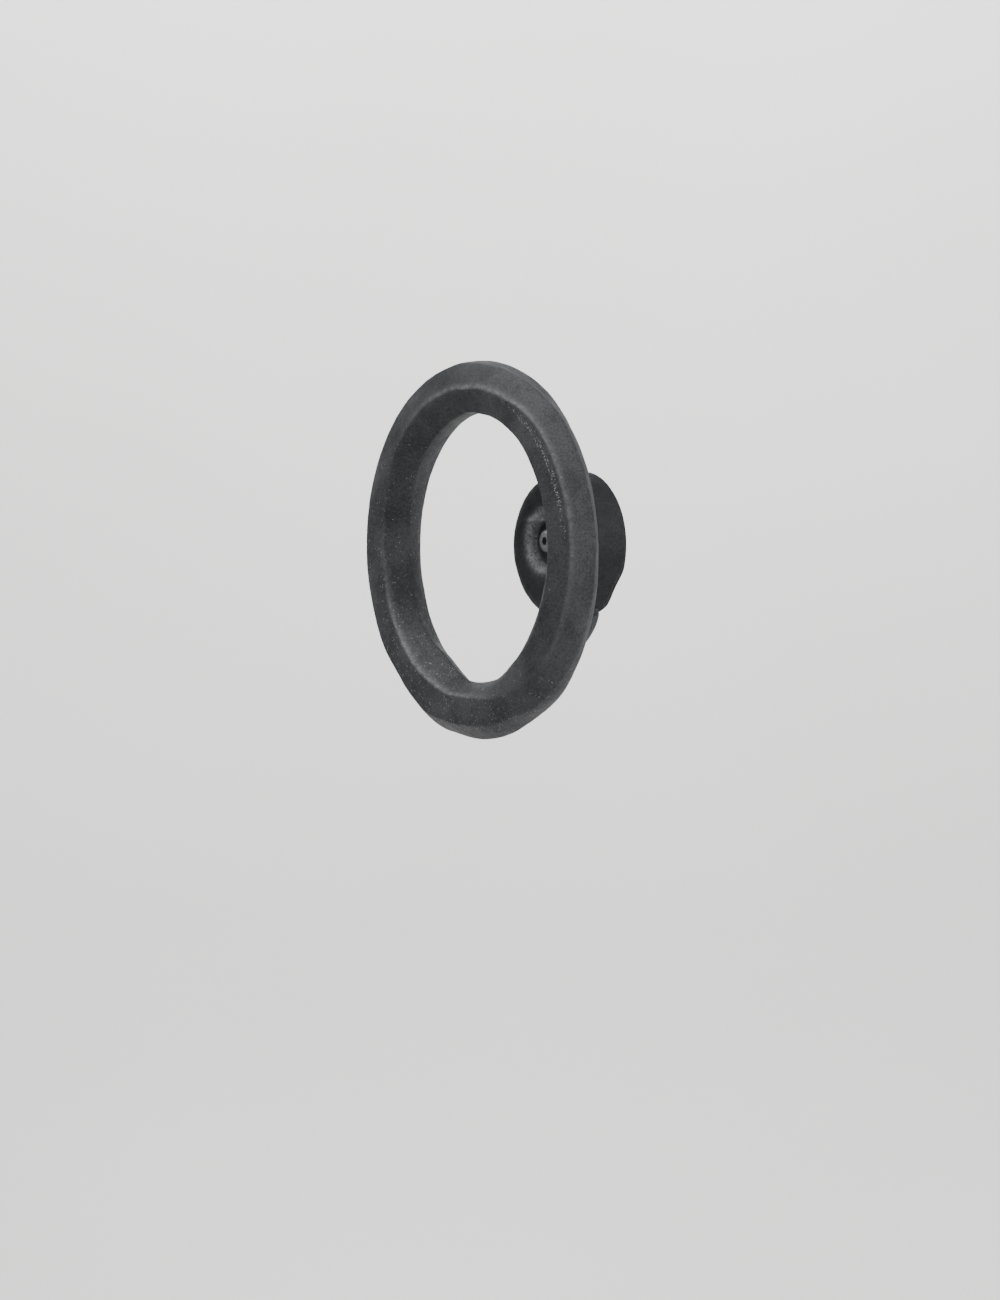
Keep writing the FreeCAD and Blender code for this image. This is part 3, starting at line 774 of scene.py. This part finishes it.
# lamps that face the ring: azimuth and rise in degrees, distance, width and height in metres, power in watts
LAMPS = [
    ("overhead", -18, 66, 1.6, 1.4, 1.2, 27.0),
    ("front_left", -50, 22, 1.8, 0.5, 0.9, 3.0),
    ("front", 22, 16, 1.8, 0.4, 0.8, 1.5),
    ("right_side", 104, 18, 1.7, 0.5, 1.2, 19.0),
    ("door_side", 160, 5, 1.3, 1.4, 1.4, 3.5),
]

# a lamp behind the object that lights the backdrop alone: how far behind, how high, and how steeply it points
WASH_BEHIND = 1.8
WASH_HEIGHT = 1.0
WASH_RUN = 0.8
WASH_DROP = 1.05
WASH_WIDTH = 1.6
WASH_SIZE_UP = 0.6
WASH_POWER = 50.0


def directed(azimuth, rise):
    """A unit vector from the object towards a place at this azimuth, raised by this angle."""
    flat = math.cos(rise)
    return Vector((math.sin(azimuth) * flat, -math.cos(azimuth) * flat, math.sin(rise)))


def sweep_profile():
    """Places along the sweep from its front to its top: how far away from the object, and how high."""
    profile = [(SWEEP_FRONT, FLOOR_HEIGHT), (SWEEP_REACH - SWEEP_BEND, FLOOR_HEIGHT)]
    for step in range(1, SWEEP_BEND_STEPS + 1):
        angle = math.radians(90 * step / SWEEP_BEND_STEPS)
        far = SWEEP_REACH - SWEEP_BEND + SWEEP_BEND * math.sin(angle)
        profile.append((far, FLOOR_HEIGHT + SWEEP_BEND - SWEEP_BEND * math.cos(angle)))
    profile.append((SWEEP_REACH, SWEEP_TOP))
    return profile


def make_stage():
    """A pale floor that sweeps up into a backdrop behind the object, as the camera sees it."""
    away = -directed(VIEW_AZIMUTH, 0)
    half_across = UP.cross(away) * SWEEP_HALF_WIDTH
    bm = bmesh.new()
    rows = []
    for far, height in sweep_profile():
        place = away * far + UP * height
        rows.append([bm.verts.new(place + half_across * side) for side in (-1, 1)])
    for first, second in zip(rows, rows[1:]):
        bm.faces.new((first[0], second[0], second[1], first[1]))
    mesh = bpy.data.meshes.new("studio_sweep")
    bm.to_mesh(mesh)
    bm.free()
    for polygon in mesh.polygons:
        polygon.use_smooth = True
    sweep = new_object("studio_sweep", mesh)
    n = Nodes("studio_paper")
    paper = n.ramp(n.noise(3.0, detail=2.0), [(0.3, (0.68, 0.67, 0.66)), (0.7, (0.71, 0.705, 0.70))])
    mesh.materials.append(n.finish(Base_Color=paper, Roughness=0.9))


def soft_light(name, place, aim, width, height, power):
    lamp = bpy.data.lights.new(name, "AREA")
    lamp.shape = "RECTANGLE"
    lamp.size = width
    lamp.size_y = height
    lamp.energy = power
    item = new_object(name, lamp)
    item.location = place
    item.rotation_mode = "QUATERNION"
    item.rotation_quaternion = aim.to_track_quat("-Z", "Y")
    item.visible_camera = False


def make_lights():
    world = bpy.data.worlds.new("studio")
    bpy.context.scene.world = world
    world.use_nodes = True
    background = world.node_tree.nodes["Background"]
    background.inputs["Color"].default_value = WORLD_COLOUR
    background.inputs["Strength"].default_value = WORLD_STRENGTH
    for name, azimuth, rise, away, width, height, power in LAMPS:
        towards = directed(math.radians(azimuth), math.radians(rise))
        soft_light(name, Vector(RING_CENTRE) + towards * away, -towards, width, height, power)
    behind = -directed(VIEW_AZIMUTH, 0)
    place = behind * WASH_BEHIND + UP * WASH_HEIGHT
    aim = behind * WASH_RUN - UP * WASH_DROP
    soft_light("backdrop_wash", place, aim, WASH_WIDTH, WASH_SIZE_UP, WASH_POWER)


def make_camera():
    back = directed(VIEW_AZIMUTH, 0)
    right = UP.cross(back)
    aim = Vector(RING_CENTRE) + right * LOOK_ASIDE - UP * LOOK_BELOW
    data = bpy.data.cameras.new("camera")
    data.sensor_fit = "VERTICAL"
    data.sensor_height = SENSOR
    data.sensor_width = SENSOR
    data.lens = SENSOR * VIEW_DISTANCE / VIEW_HEIGHT
    data.clip_start = CLIP_NEAR
    data.clip_end = CLIP_FAR
    camera = new_object("camera", data)
    camera.location = aim + back * VIEW_DISTANCE
    camera.rotation_mode = "QUATERNION"
    camera.rotation_quaternion = (-back).to_track_quat("-Z", "Y")
    bpy.context.scene.camera = camera


make_stage()
make_lights()
make_camera()
